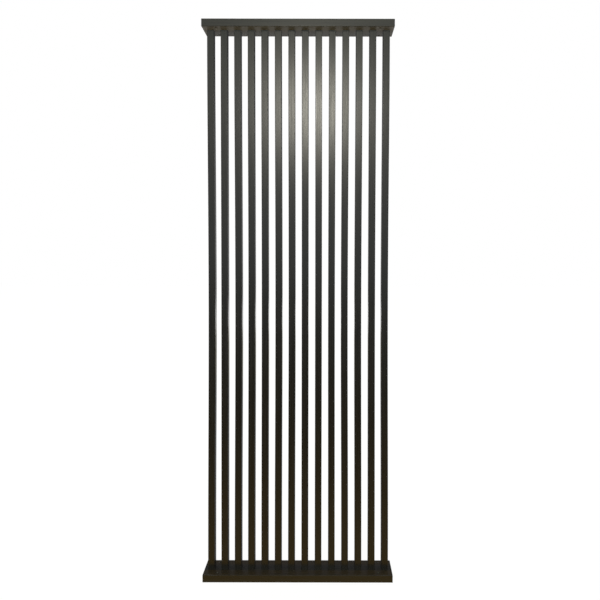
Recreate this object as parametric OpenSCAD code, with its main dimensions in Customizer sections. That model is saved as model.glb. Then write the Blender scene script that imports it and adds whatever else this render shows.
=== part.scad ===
// Tall slatted screen: upright battens held between a sole plate and a head plate.
// X is the width, Y the depth with the front at -Y, and Z is up from the floor.
// The origin is on the floor, at the middle of the sole plate.

/* [Screen] */
// Overall height, floor to ceiling
screen_h = 2500; // [600:10:3000]
// Overall width
screen_w = 850; // [650:5:1200]
// Number of slats
slat_count = 14; // [6:1:14]

/* [Slats] */
// Width of a slat's front face
slat_w = 30; // [24:1:34]
// Depth of a slat, front to back
slat_d = 40; // [40:1:60]
// Distance from a plate's end to the outer slat
end_margin = 17; // [10:1:40]

/* [Plates] */
// Depth of the sole and head plates
plate_d = 130; // [110:1:160]
// Thickness of the sole and head plates
plate_t = 34; // [28:1:40]
// Radius of the eased edges
ease_r = 2; // [0.5:0.5:4]

/* [Slat screws] */
// Length of a screw
screw_l = 80; // [70:1:120]
// Diameter of a screw over its thread
screw_d = 5; // [4:0.5:5]
// Diameter of a screw's countersunk head
screw_head_d = 10; // [9:0.5:10]

/* [Dowels] */
// Diameter of a dowel
dowel_d = 8; // [6:1:8]
// Length of a dowel
dowel_l = 36; // [30:1:40]

/* [Fixing holes] */
// Diameter of a hole for the floor or ceiling screws
fixing_d = 6.5; // [5:0.5:8]
// Diameter of its countersink
fixing_sink_d = 13; // [12:0.5:16]
// Distance from the plate's long edge to the hole's axis
fixing_inset = 20; // [14:1:20]

/* [Hidden] */
$fn = 64;

// Slats: equal pitch between the two end margins, on the middle of the plates' depth
slat_l = screen_h - 2 * plate_t;
slat_pitch = (screen_w - 2 * end_margin - slat_w) / (slat_count - 1);
function slat_x(i) = (i - (slat_count - 1) / 2) * slat_pitch;

// A slat's end joint: the screw in its front half and the dowel in its rear half
joint_offset = slat_d / 4;
screw_y = -joint_offset;
dowel_y = joint_offset;

// Screw: a plain shank through the plate, then the thread as a cylinder of its mean diameter.
// The head lies a little below the plate's outer face.
head_recess = 0.5;
shank_d = screw_d * 0.72;
shank_l = plate_t - head_recess;
thread_d = screw_d * 0.84;
head_h = (screw_head_d - shank_d) / 2;
tip_h = 4;
drive_w = 1;
drive_l = screw_head_d / 2;
drive_h = 2;

// Dowel: half of it, less its end play, in each of the two pieces that it joins
dowel_chamfer = 1;
dowel_in_plate = plate_t / 2;
dowel_play = 1;

// Radial clearance of a part in its hole, and how far a cutter runs past a face
clearance = 0.1;
cut = 1;

// Countersink of a slat screw: wide enough at the face for the head to lie below it
screw_sink_d = screw_head_d + 2 * (head_recess + clearance);

// Fixing holes: a rectangle, each hole in line with the gap beside an outer slat
fixing_x = slat_x(slat_count - 1) - slat_pitch / 2;
fixing_y = plate_d / 2 - fixing_inset;

finish = [0.07, 0.068, 0.064];
zinc = [0.75, 0.73, 0.66];
beech = [0.80, 0.66, 0.47];

function slat_node(i) = str("slat_", i < 9 ? "0" : "", i + 1);
slat_nodes = [for (i = [0 : slat_count - 1]) slat_node(i)];

// Rectangle centred on the origin, with rounded corners
module eased_rect(w, h, r) {
    square([w - 2 * r, h], center = true);
    square([w, h - 2 * r], center = true);
    for (sx = [-1, 1], sy = [-1, 1])
        translate([sx * (w / 2 - r), sy * (h / 2 - r)])
            circle(r);
}

// Board standing on Z = 0, with all twelve edges rounded
module eased_board(w, d, h, r) {
    intersection() {
        linear_extrude(h)
            eased_rect(w, d, r);
        translate([0, d / 2, h / 2])
            rotate([90, 0, 0])
                linear_extrude(d)
                    eased_rect(w, h, r);
        translate([-w / 2, 0, h / 2])
            rotate([90, 0, 90])
                linear_extrude(w)
                    eased_rect(d, h, r);
    }
}

// Hole up through a board that stands on Z = 0, countersunk at 90 degrees to sink_d at its mouth
module sunk_hole(d, sink_d, t) {
    sink_h = (sink_d - d) / 2;
    translate([0, 0, -cut])
        cylinder(d = d, h = t + 2 * cut);
    translate([0, 0, -cut])
        cylinder(d1 = sink_d + 2 * cut, d2 = d, h = sink_h + cut);
}

// Plate as it lies on the floor: slat screws enter from below, fixing screws and dowels from above
module plate() {
    difference() {
        eased_board(screen_w, plate_d, plate_t, ease_r);
        for (i = [0 : slat_count - 1]) {
            translate([slat_x(i), screw_y, 0])
                sunk_hole(screw_d + 2 * clearance, screw_sink_d, plate_t);
            translate([slat_x(i), dowel_y, plate_t - dowel_in_plate - dowel_play])
                cylinder(d = dowel_d + 2 * clearance, h = dowel_in_plate + dowel_play + cut);
        }
        for (sx = [-1, 1], sy = [-1, 1])
            translate([sx * fixing_x, sy * fixing_y, plate_t])
                mirror([0, 0, 1])
                    sunk_hole(fixing_d, fixing_sink_d, plate_t);
    }
}

// Blind holes in a slat's lower end, for its screw and its dowel
module end_holes() {
    screw_reach = screw_l + head_recess - plate_t;
    dowel_reach = dowel_l - dowel_in_plate + dowel_play;
    translate([0, screw_y, -cut])
        cylinder(d = thread_d + 2 * clearance, h = screw_reach + cut);
    translate([0, dowel_y, -cut])
        cylinder(d = dowel_d + 2 * clearance, h = dowel_reach + cut);
}

// One slat, standing on Z = 0
module slat() {
    difference() {
        linear_extrude(slat_l)
            eased_rect(slat_w, slat_d, ease_r);
        end_holes();
        translate([0, 0, slat_l])
            mirror([0, 0, 1])
                end_holes();
    }
}

// Countersunk wood screw pointing up, with the flat of its head on Z = 0
module screw() {
    difference() {
        union() {
            cylinder(d1 = screw_head_d, d2 = shank_d, h = head_h);
            cylinder(d = shank_d, h = shank_l);
            translate([0, 0, shank_l])
                cylinder(d = thread_d, h = screw_l - shank_l - tip_h);
            translate([0, 0, screw_l - tip_h])
                cylinder(d1 = thread_d, d2 = 0, h = tip_h);
        }
        for (turn = [0, 90])
            rotate(turn)
                translate([-drive_l / 2, -drive_w / 2, -cut])
                    cube([drive_l, drive_w, drive_h + cut]);
    }
}

// Dowel standing on Z = 0, chamfered at both ends
module dowel() {
    tip_d = dowel_d - 2 * dowel_chamfer;
    cylinder(d1 = tip_d, d2 = dowel_d, h = dowel_chamfer);
    translate([0, 0, dowel_chamfer])
        cylinder(d = dowel_d, h = dowel_l - 2 * dowel_chamfer);
    translate([0, 0, dowel_l - dowel_chamfer])
        cylinder(d1 = dowel_d, d2 = tip_d, h = dowel_chamfer);
}

// Turns what is fitted at the sole into what is fitted at the head
module at_head() {
    translate([0, 0, screen_h])
        mirror([0, 0, 1])
            children();
}

module sole_plate() {
    color(finish)
        plate();
}

module head_plate() {
    color(finish)
        at_head()
            plate();
}

module standing_slat(i) {
    color(finish)
        translate([slat_x(i), 0, plate_t])
            slat();
}

module sole_screws() {
    color(zinc)
        for (i = [0 : slat_count - 1])
            translate([slat_x(i), screw_y, head_recess])
                screw();
}

module head_screws() {
    at_head()
        sole_screws();
}

module sole_dowels() {
    color(beech)
        for (i = [0 : slat_count - 1])
            translate([slat_x(i), dowel_y, plate_t - dowel_in_plate])
                dowel();
}

module head_dowels() {
    at_head()
        sole_dowels();
}

sole_plate();
head_plate();
for (i = [0 : slat_count - 1])
    standing_slat(i);
sole_screws();
head_screws();
sole_dowels();
head_dowels();
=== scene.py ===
"""Looks of the slatted screen: black lacquered slats between a sole plate and a head plate.

Metres, in the frame of the CAD model: X to the viewer's right, Y from front to back, Z up from the floor.
"""
import math

import bmesh
import bpy
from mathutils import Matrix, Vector


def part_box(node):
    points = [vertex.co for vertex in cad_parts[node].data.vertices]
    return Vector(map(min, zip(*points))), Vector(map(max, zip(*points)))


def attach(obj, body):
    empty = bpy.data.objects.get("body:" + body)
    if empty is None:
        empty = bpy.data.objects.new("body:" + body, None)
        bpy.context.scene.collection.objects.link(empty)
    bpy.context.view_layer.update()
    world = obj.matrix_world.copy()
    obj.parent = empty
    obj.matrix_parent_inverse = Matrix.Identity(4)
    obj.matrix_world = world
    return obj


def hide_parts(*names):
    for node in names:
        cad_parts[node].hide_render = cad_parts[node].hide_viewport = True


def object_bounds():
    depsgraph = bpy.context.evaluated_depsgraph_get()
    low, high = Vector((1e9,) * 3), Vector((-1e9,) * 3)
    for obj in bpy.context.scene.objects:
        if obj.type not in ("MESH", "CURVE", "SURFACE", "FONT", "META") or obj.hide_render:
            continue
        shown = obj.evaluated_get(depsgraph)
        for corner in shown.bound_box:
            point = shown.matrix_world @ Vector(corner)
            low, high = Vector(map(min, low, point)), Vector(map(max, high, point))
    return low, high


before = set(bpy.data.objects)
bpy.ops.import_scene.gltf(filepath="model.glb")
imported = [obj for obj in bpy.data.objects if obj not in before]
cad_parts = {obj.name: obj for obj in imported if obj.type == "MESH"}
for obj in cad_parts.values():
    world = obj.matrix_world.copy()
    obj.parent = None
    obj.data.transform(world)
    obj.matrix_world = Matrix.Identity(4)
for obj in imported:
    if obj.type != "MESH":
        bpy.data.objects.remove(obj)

cad_low, cad_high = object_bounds()
MM = 0.001

# Points closer than this are one point
MERGE_DISTANCE = 0.001 * MM

# How far each slat bows sideways at its middle, in mm: positive to the right, slat 1 first. The bows are
# fitted to the slats' edges in the photograph and rounded to 0.5. On both sides most of them bow towards
# the middle of the screen, as a lens's distortion shows straight slats, so most of it is probably the lens
SLAT_BOWS = (4.5, 1.5, 4.0, 2.5, 2.0, 3.0, 2.0, 0.5, 0.5, -1.5, -4.0, -3.5, -2.0, -4.5)

# Stretches along a bowed slat, and the angle between two faces from which their edge is sharp
BOW_STEPS = 72
SHARP_ANGLE = math.radians(35)

# Screw thread, in mm: heights from the flat of the head, pitch, radii and half the ridge's width. Then the
# steps in a turn, the steps over which it runs out at each end, and the part of its height left there
THREAD_FROM = 35.0
THREAD_TO = 75.0
THREAD_PITCH = 2.4
THREAD_ROOT = 2.0
THREAD_CREST = 2.5
THREAD_HALF = 0.5
THREAD_STEPS = 24
THREAD_RUN_OUT = 16
THREAD_END = 0.05

# Dowel flutes: how many, steps across one, and sizes in mm
FLUTES = 16
FLUTE_STEPS = 6
FLUTE_DEPTH = 0.35
DOWEL_CHAMFER = 1.0

# Camera, fitted to the edges in the photograph: aimed along +Y and a little down, with its lens shifted down
CAMERA_PLACE = (0.119, -2.715, 1.495)
CAMERA_PITCH = -0.0197
CAMERA_ROLL = -0.0017
SENSOR_WIDTH = 36
LENS = 36
LENS_SHIFT = (-0.0413, -0.0672)

# Lacquer: its streaks and its brownest boards, then worn edges and dust, then painted fill light: a light
# grey painted on faces that look down, which brightens the head plate's underside
STREAK_DARK = (0.0095, 0.0090, 0.0082, 1)
STREAK_LIGHT = (0.0135, 0.0128, 0.0112, 1)
BOARD_BROWN = (0.0125, 0.0112, 0.0090, 1)
WORN = (0.034, 0.028, 0.021, 1)
DUST = (0.025, 0.016, 0.006, 1)
PAINTED_FILL_GREY = (0.115, 0.113, 0.114, 1)

# What the pores, the worn edges and the faces that look down add to the lacquer's roughness
PORE_ROUGHNESS = 0.12
WORN_ROUGHNESS = 0.20
UNDERSIDE_ROUGHNESS = 0.25

# Dust lies in front of and behind the slats: it starts and is full this far from the middle of the depth
DUST_FROM = 18 * MM
DUST_FULL = 30 * MM

# Screws and dowels
ZINC_YELLOW = (0.62, 0.54, 0.34, 1)
ZINC_PINK = (0.66, 0.50, 0.40, 1)
BEECH_DARK = (0.55, 0.37, 0.21, 1)
BEECH_LIGHT = (0.66, 0.48, 0.30, 1)
BEECH_FLECK = (0.34, 0.19, 0.10, 1)

# Floor: from its middle to its sides in metres, its drop below the screen, what it scatters and its glow
FLOOR_REACH = 20
FLOOR_DROP = 0.2 * MM
FLOOR_GREY = (0.08, 0.08, 0.08, 1)
FLOOR_GLOW = 0.955

# Tints of the room's light
NEUTRAL = (1.0, 1.0, 1.0)
WARM = (1.0, 1.0, 0.7)
COOL = (0.85, 0.95, 1.0)
AMBER = (1.0, 0.6, 0.1)

# Light from in front of the screen and from behind it, as (height, brightness, tint) of a direction:
# -1 is straight down, 0 level and 1 straight up. It is no real room. The values were solved by least
# squares from the photograph's tones, partly changed, and rounded
ROOM_BEFORE = (
    (-1.0, 1.0, WARM),
    (-0.55, 0.8, AMBER),
    (-0.3, 0.0, NEUTRAL),
    (-0.1, 0.0, NEUTRAL),
    (0.0, 1.4, COOL),
    (0.1, 0.4, NEUTRAL),
    (0.3, 0.9, COOL),
    (0.6, 1.5, WARM),
    (1.0, 0.0, NEUTRAL),
)
ROOM_BEHIND = (
    (-1.0, 1.0, NEUTRAL),
    (-0.55, 0.1, NEUTRAL),
    (-0.3, 0.3, NEUTRAL),
    (-0.1, 0.2, NEUTRAL),
    (0.0, 0.5, NEUTRAL),
    (0.3, 0.1, NEUTRAL),
    (0.6, 0.1, NEUTRAL),
    (1.0, 1.2, NEUTRAL),
)

# Directions with a y from minus this to this pass from the room before the screen to the room behind it
ROOM_BLEND = 0.3


# ---------------------------------------------------------------- node helpers

def new_tree(name):
    """A new material and its emptied node tree."""
    material = bpy.data.materials.new(name)
    material.use_nodes = True
    material.node_tree.nodes.clear()
    return material, material.node_tree


def add(tree, kind, inputs=None, **settings):
    """A node with its settings, and its inputs set to values or linked to sockets."""
    node = tree.nodes.new("ShaderNode" + kind)
    for name, value in settings.items():
        setattr(node, name, value)
    for name, value in (inputs or {}).items():
        if isinstance(value, bpy.types.NodeSocket):
            tree.links.new(value, node.inputs[name])
        else:
            node.inputs[name].default_value = value
    return node


def math_node(tree, operation, first, second=0.0):
    """The result of one sum on values or sockets."""
    return add(tree, "Math", {0: first, 1: second}, operation=operation).outputs[0]


def between(tree, value, low, high, new_low=0.0, new_high=1.0):
    """Value's range from low to high, taken smoothly to new_low to new_high and held there."""
    node = add(tree, "MapRange", {"Value": value, "From Min": low, "From Max": high,
                                  "To Min": new_low, "To Max": new_high}, interpolation_type="SMOOTHSTEP")
    return node.outputs["Result"]


def noise(tree, feature_mm, detail=2.0, offset=0.0):
    """Noise from 0 to 1, whose features are as long as feature_mm says along X, Y and Z."""
    place = add(tree, "TexCoord").outputs["Object"]
    scale = [1 / (size * MM) for size in feature_mm]
    scaled = add(tree, "Mapping", {"Vector": place, "Scale": scale, "Location": (offset,) * 3})
    return add(tree, "TexNoise", {"Vector": scaled.outputs[0], "Scale": 1.0, "Detail": detail}).outputs[0]


def mix_colour(tree, factor, first, second):
    """The colour that lies at factor between two colours or sockets."""
    node = add(tree, "Mix", data_type="RGBA")
    for socket, value in ((node.inputs[0], factor), (node.inputs[6], first), (node.inputs[7], second)):
        if isinstance(value, bpy.types.NodeSocket):
            tree.links.new(value, socket)
        else:
            socket.default_value = value
    return node.outputs[2]


def edge_mask(tree):
    """1 on the rounded edges of a board, which face along none of the three axes, and 0 on its flats."""
    normal = add(tree, "NewGeometry").outputs["Normal"]
    facing = add(tree, "VectorMath", {0: normal}, operation="ABSOLUTE").outputs[0]
    parts = add(tree, "SeparateXYZ", {0: facing}).outputs
    widest = math_node(tree, "MAXIMUM", parts[0], math_node(tree, "MAXIMUM", parts[1], parts[2]))
    return between(tree, widest, 0.97, 0.80)


def level_masks(tree):
    """Two masks: 1 on faces that look up, as a shelf does, and 1 on faces that look down."""
    normal = add(tree, "SeparateXYZ", {0: add(tree, "NewGeometry").outputs["Normal"]})
    return between(tree, normal.outputs[2], 0.9, 0.99), between(tree, normal.outputs[2], -0.9, -0.99)


def surface(tree, inputs):
    """Ends a tree in one Principled shader."""
    shader = add(tree, "BsdfPrincipled", inputs)
    add(tree, "OutputMaterial", {"Surface": shader.outputs[0]})


# ---------------------------------------------------------------- materials

def lacquered_timber(name, along, roughness):
    """Satin black lacquer on planed timber. along is 0 or 2, for grain that runs in X or in Z."""
    material, tree = new_tree(name)

    def grain(width_mm, length_mm, **options):
        sizes = [width_mm] * 3
        sizes[along] = length_mm
        return noise(tree, sizes, **options)

    board = grain(40, 900, detail=1, offset=3.1)
    streak = grain(4, 260, detail=3, offset=7.7)
    fibre = grain(0.7, 45, detail=3, offset=1.3)
    pore = between(tree, grain(0.35, 9, detail=1, offset=5.9), 0.66, 0.74)
    wear = math_node(tree, "MULTIPLY", edge_mask(tree), between(tree, grain(9, 60, detail=4), 0.45, 0.75))
    upward, downward = level_masks(tree)
    depth = add(tree, "SeparateXYZ", {0: add(tree, "TexCoord").outputs["Object"]}).outputs[1]
    ledge = between(tree, math_node(tree, "ABSOLUTE", depth), DUST_FROM, DUST_FULL)
    settled = between(tree, grain(14, 90, detail=4), 0.25, 0.65, 0.5, 1.0)
    dust = math_node(tree, "MULTIPLY", math_node(tree, "MULTIPLY", upward, ledge), settled)
    # Painted fill light: faces that look down get a light grey in patches, as if lit from below. The same
    # mask also roughens them
    patches = between(tree, grain(25, 140, detail=3), 0.3, 0.7, 0.75, 1.0)
    painted_fill_mask = math_node(tree, "MULTIPLY", downward, patches)

    tone = mix_colour(tree, between(tree, streak, 0.3, 0.7), STREAK_DARK, STREAK_LIGHT)
    tone = mix_colour(tree, between(tree, board, 0.35, 0.65, 0.0, 0.5), tone, BOARD_BROWN)
    tone = mix_colour(tree, math_node(tree, "MULTIPLY", wear, 0.4), tone, WORN)
    tone = mix_colour(tree, dust, tone, DUST)
    # Painted fill light on the faces that look down
    tone = mix_colour(tree, painted_fill_mask, tone, PAINTED_FILL_GREY)

    gloss = math_node(tree, "ADD", between(tree, streak, 0.25, 0.75, roughness - 0.03, roughness + 0.03),
                      between(tree, fibre, 0.3, 0.7, -0.02, 0.02))
    gloss = math_node(tree, "ADD", gloss, math_node(tree, "MULTIPLY", pore, PORE_ROUGHNESS))
    gloss = math_node(tree, "ADD", gloss, math_node(tree, "MULTIPLY", wear, WORN_ROUGHNESS))
    gloss = math_node(tree, "ADD", gloss, math_node(tree, "MULTIPLY", painted_fill_mask, UNDERSIDE_ROUGHNESS))

    relief = math_node(tree, "ADD", math_node(tree, "MULTIPLY", fibre, 0.5),
                       math_node(tree, "MULTIPLY", streak, 0.9))
    relief = math_node(tree, "SUBTRACT", relief, math_node(tree, "MULTIPLY", pore, 0.6))
    bump = add(tree, "Bump", {"Strength": 0.35, "Distance": 0.08 * MM, "Height": relief})
    surface(tree, {"Base Color": tone, "Roughness": gloss, "Normal": bump.outputs[0], "IOR": 1.5})
    return material


def zinc_plate(name):
    """Yellow zinc on steel screws: a faint rainbow film in blotches, over fine turning marks."""
    material, tree = new_tree(name)
    blotch = noise(tree, (3, 3, 3), detail=3)
    turned = noise(tree, (2, 2, 0.12), detail=2, offset=4.4)
    tone = mix_colour(tree, between(tree, blotch, 0.35, 0.65), ZINC_YELLOW, ZINC_PINK)
    gloss = between(tree, turned, 0.3, 0.7, 0.24, 0.38)
    bump = add(tree, "Bump", {"Strength": 0.3, "Distance": 0.02 * MM, "Height": turned})
    surface(tree, {"Base Color": tone, "Roughness": gloss, "Normal": bump.outputs[0], "Metallic": 1.0})
    return material


def bare_beech(name):
    """Beech as turned for dowels: pink-brown, with short dark flecks along the grain."""
    material, tree = new_tree(name)
    figure = noise(tree, (1.6, 1.6, 40), detail=3)
    fleck = between(tree, noise(tree, (0.3, 0.3, 1.8), detail=1, offset=2.2), 0.62, 0.70)
    tone = mix_colour(tree, between(tree, figure, 0.3, 0.7), BEECH_DARK, BEECH_LIGHT)
    tone = mix_colour(tree, math_node(tree, "MULTIPLY", fleck, 0.6), tone, BEECH_FLECK)
    bump = add(tree, "Bump", {"Strength": 0.3, "Distance": 0.05 * MM, "Height": figure})
    surface(tree, {"Base Color": tone, "Roughness": 0.55, "Normal": bump.outputs[0]})
    return material


def white_ground(name):
    """Pale studio floor: it glows to the backdrop's white, and scatters enough to hold a faint shadow."""
    material, tree = new_tree(name)
    diffuse = add(tree, "BsdfDiffuse", {"Color": FLOOR_GREY})
    glow = add(tree, "Emission", {"Color": (1, 1, 1, 1), "Strength": FLOOR_GLOW})
    both = add(tree, "AddShader", {0: diffuse.outputs[0], 1: glow.outputs[0]})
    add(tree, "OutputMaterial", {"Surface": both.outputs[0]})
    return material


# ---------------------------------------------------------------- pieces

def slat_name(number):
    return f"slat_{number:02d}"


def set_material(piece, material):
    """Gives a piece one material in place of any it has."""
    piece.data.materials.clear()
    piece.data.materials.append(material)


def bowed_slat(number, bow_mm, material):
    """One slat with rings along its length, bent sideways between its two held ends."""
    source = slat_name(number)
    low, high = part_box(source)
    length = high.z - low.z
    mesh = bmesh.new()
    mesh.from_mesh(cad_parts[source].data)
    bmesh.ops.remove_doubles(mesh, verts=mesh.verts, dist=MERGE_DISTANCE)
    for step in range(1, BOW_STEPS):
        everything = mesh.verts[:] + mesh.edges[:] + mesh.faces[:]
        bmesh.ops.bisect_plane(mesh, geom=everything, dist=MERGE_DISTANCE, plane_no=(0, 0, 1),
                               plane_co=(0, 0, low.z + length * step / BOW_STEPS))
    for vertex in mesh.verts:
        turn = 2 * math.pi * (vertex.co.z - low.z) / length
        vertex.co.x += bow_mm * MM * (1 - math.cos(turn)) / 2
    piece = finish_piece(mesh, source + "_bowed", source, material)
    flats = piece.modifiers.new("flats", "WEIGHTED_NORMAL")
    flats.keep_sharp = True
    flats.weight = 100


def finish_piece(mesh, name, source, material):
    """Turns a bmesh into a piece that stands for a CAD node."""
    bmesh.ops.recalc_face_normals(mesh, faces=mesh.faces)
    for face in mesh.faces:
        face.smooth = True
    for edge in mesh.edges:
        edge.smooth = edge.calc_face_angle(math.pi) < SHARP_ANGLE
    data = bpy.data.meshes.new(name)
    mesh.to_mesh(data)
    mesh.free()
    piece = bpy.data.objects.new(name, data)
    bpy.context.scene.collection.objects.link(piece)
    set_material(piece, material)
    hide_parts(source)
    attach(piece, "root")
    return piece


def joint_places(source):
    """The axis (x, y) of each screw or dowel of a CAD node: one at the middle of every slat's end."""
    low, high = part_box(source)
    depth = (low.y + high.y) / 2
    for number in range(1, len(SLAT_BOWS) + 1):
        slat_low, slat_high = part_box(slat_name(number))
        yield (slat_low.x + slat_high.x) / 2, depth


def bridge(mesh, rings):
    """Closed skin over a row of rings of equally many vertices."""
    for below, above in zip(rings, rings[1:]):
        count = len(below)
        for i in range(count):
            j = (i + 1) % count
            mesh.faces.new((below[i], below[j], above[j], above[i]))
    mesh.faces.new(rings[0][::-1])
    mesh.faces.new(rings[-1])


def add_thread(mesh, x, y, start, up):
    """Right-hand ridge round a screw, from shank to tip. up is 1, or -1 for a screw that points down."""
    steps = int((THREAD_TO - THREAD_FROM) / THREAD_PITCH * THREAD_STEPS)
    rings = []
    for step in range(steps + 1):
        turn = 2 * math.pi * step / THREAD_STEPS
        height = THREAD_FROM + THREAD_PITCH * step / THREAD_STEPS
        full = max(THREAD_END, min(1.0, step / THREAD_RUN_OUT, (steps - step) / THREAD_RUN_OUT))
        crest = THREAD_ROOT + (THREAD_CREST - THREAD_ROOT) * full
        section = ((THREAD_ROOT, -THREAD_HALF), (crest, 0.0), (THREAD_ROOT, THREAD_HALF))
        rings.append([mesh.verts.new((x + radius * math.cos(turn) * MM, y + up * radius * math.sin(turn) * MM,
                                      start + up * (height + rise) * MM)) for radius, rise in section])
    bridge(mesh, rings)


def threaded_screws(source, up, material):
    """The CAD screws as they are, each with a ridge added round it as its thread."""
    low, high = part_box(source)
    mesh = bmesh.new()
    mesh.from_mesh(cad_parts[source].data)
    bmesh.ops.remove_doubles(mesh, verts=mesh.verts, dist=MERGE_DISTANCE)
    for x, y in joint_places(source):
        add_thread(mesh, x, y, low.z if up > 0 else high.z, up)
    finish_piece(mesh, source + "_threaded", source, material)


def fluted_dowels(source, material):
    """Dowels with shallow flutes along them, which let glue and air out, and chamfered ends."""
    low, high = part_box(source)
    length = high.z - low.z
    radius = (high.y - low.y) / 2
    mesh = bmesh.new()
    for x, y in joint_places(source):
        rings = []
        for height, inset in ((0.0, DOWEL_CHAMFER), (DOWEL_CHAMFER, 0.0),
                              (length / MM - DOWEL_CHAMFER, 0.0), (length / MM, DOWEL_CHAMFER)):
            ring = []
            for i in range(FLUTES * FLUTE_STEPS):
                turn = 2 * math.pi * i / (FLUTES * FLUTE_STEPS)
                groove = FLUTE_DEPTH * (1 - math.cos(FLUTES * turn)) / 2
                reach = radius - (inset + groove) * MM
                ring.append(mesh.verts.new((x + reach * math.cos(turn), y + reach * math.sin(turn),
                                            low.z + height * MM)))
            rings.append(ring)
        bridge(mesh, rings)
    finish_piece(mesh, source + "_fluted", source, material)


# ---------------------------------------------------------------- studio

def place_camera():
    """The camera at the photograph's viewing angle."""
    data = bpy.data.cameras.new("camera")
    data.sensor_width = SENSOR_WIDTH
    data.lens = LENS
    data.shift_x, data.shift_y = LENS_SHIFT
    camera = bpy.data.objects.new("camera", data)
    camera.location = CAMERA_PLACE
    camera.rotation_euler = (math.radians(90) + CAMERA_PITCH, CAMERA_ROLL, 0)
    bpy.context.scene.collection.objects.link(camera)
    bpy.context.scene.camera = camera


def soft_light(name, place, target, size, watts, colour):
    """A rectangular lamp of size (width, height) that faces the target. The camera doesn't see it."""
    data = bpy.data.lights.new(name, "AREA")
    data.shape = "RECTANGLE"
    data.size, data.size_y = size
    data.energy = watts
    data.color = colour
    lamp = bpy.data.objects.new(name, data)
    lamp.location = place
    lamp.rotation_euler = (Vector(target) - Vector(place)).to_track_quat("-Z", "Y").to_euler()
    lamp.visible_camera = False
    bpy.context.scene.collection.objects.link(lamp)


def lay_floor():
    """Floor just below the screen. The camera sees it, but it neither lights the screen nor mirrors in it."""
    data = bpy.data.meshes.new("floor")
    level = cad_low.z - FLOOR_DROP
    signs = ((-1, -1), (1, -1), (1, 1), (-1, 1))
    corners = [(x * FLOOR_REACH, y * FLOOR_REACH, level) for x, y in signs]
    data.from_pydata(corners, [], [(0, 1, 2, 3)])
    floor = bpy.data.objects.new("floor", data)
    bpy.context.scene.collection.objects.link(floor)
    set_material(floor, white_ground("floor"))
    floor.visible_glossy = False
    floor.visible_diffuse = False


def room_ramp(tree, height, stops):
    """Light of one half of the room by the height of its direction: stops of (height, brightness, tint)."""
    place = add(tree, "MapRange", {"Value": height, "From Min": -1.0, "From Max": 1.0}).outputs["Result"]
    node = add(tree, "ValToRGB", {0: place})
    elements = node.color_ramp.elements
    while len(elements) < len(stops):
        elements.new(0.5)
    for element, (stop, brightness, tint) in zip(elements, stops):
        element.position = (stop + 1) / 2
        element.color = (*(brightness * part for part in tint), 1)
    return node.outputs[0]


def room_light():
    """White to the camera. To the screen it is the room before it (-Y) and the room behind it (+Y)."""
    world = bpy.data.worlds.new("room")
    bpy.context.scene.world = world
    world.use_nodes = True
    tree = world.node_tree
    tree.nodes.clear()
    direction = add(tree, "SeparateXYZ", {0: add(tree, "TexCoord").outputs["Generated"]})
    height = direction.outputs[2]
    behind = between(tree, direction.outputs[1], -ROOM_BLEND, ROOM_BLEND)
    both = mix_colour(tree, behind, room_ramp(tree, height, ROOM_BEFORE),
                      room_ramp(tree, height, ROOM_BEHIND))
    room = add(tree, "Background", {"Color": both, "Strength": 1.0})
    white = add(tree, "Background", {"Color": (1, 1, 1, 1), "Strength": 1.0})
    to_camera = add(tree, "LightPath").outputs["Is Camera Ray"]
    seen = add(tree, "MixShader", {0: to_camera, 1: room.outputs[0], 2: white.outputs[0]})
    add(tree, "OutputWorld", {"Surface": seen.outputs[0]})


# ---------------------------------------------------------------- the screen

upright_lacquer = lacquered_timber("black_lacquer_upright", along=2, roughness=0.27)
level_lacquer = lacquered_timber("black_lacquer_level", along=0, roughness=0.30)
for index, bow in enumerate(SLAT_BOWS):
    bowed_slat(index + 1, bow, upright_lacquer)
zinc = zinc_plate("yellow_zinc")
beech = bare_beech("bare_beech")
threaded_screws("sole_screws", 1, zinc)
threaded_screws("head_screws", -1, zinc)
for source in ("sole_dowels", "head_dowels"):
    fluted_dowels(source, beech)
for source in ("sole_plate", "head_plate"):
    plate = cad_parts[source]
    set_material(plate, level_lacquer)
    weld = plate.modifiers.new("weld", "WELD")
    weld.merge_threshold = MERGE_DISTANCE
# No real plate is hidden from reflections. With this one shown, the slats' tops mirror its dark underside
# and turn nearly black, where the photograph is an even grey
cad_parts["head_plate"].visible_glossy = False

place_camera()
lay_floor()
room_light()

# The key and the two lamps on the floor are fitted to the tones in the photograph
soft_light("key", place=(0.0, -3.6, 2.93), target=(0.09, 0, 2.12), size=(0.5, 0.38),
           watts=25, colour=(1.0, 0.96, 0.82))
# The photograph doesn't show the back: these two are there for views of it
for name, side in (("rear_left", -1), ("rear_right", 1)):
    soft_light(name, place=(side * 2.6, 2.6, 2.2), target=(0, 0, 1.3), size=(1.2, 1.2),
               watts=16, colour=(1.0, 0.98, 0.95))
soft_light("floor_behind", place=(0, 6.5, 0.02), target=(0, 6.5, 3), size=(16, 5),
           watts=30, colour=(1.0, 0.85, 0.4))
soft_light("far_floor", place=(0, 10.5, 0.02), target=(0, 10.5, 3), size=(20, 5),
           watts=350, colour=(1.0, 1.0, 1.0))

scene = bpy.context.scene
scene.view_settings.view_transform = "Standard"
scene.view_settings.look = "None"
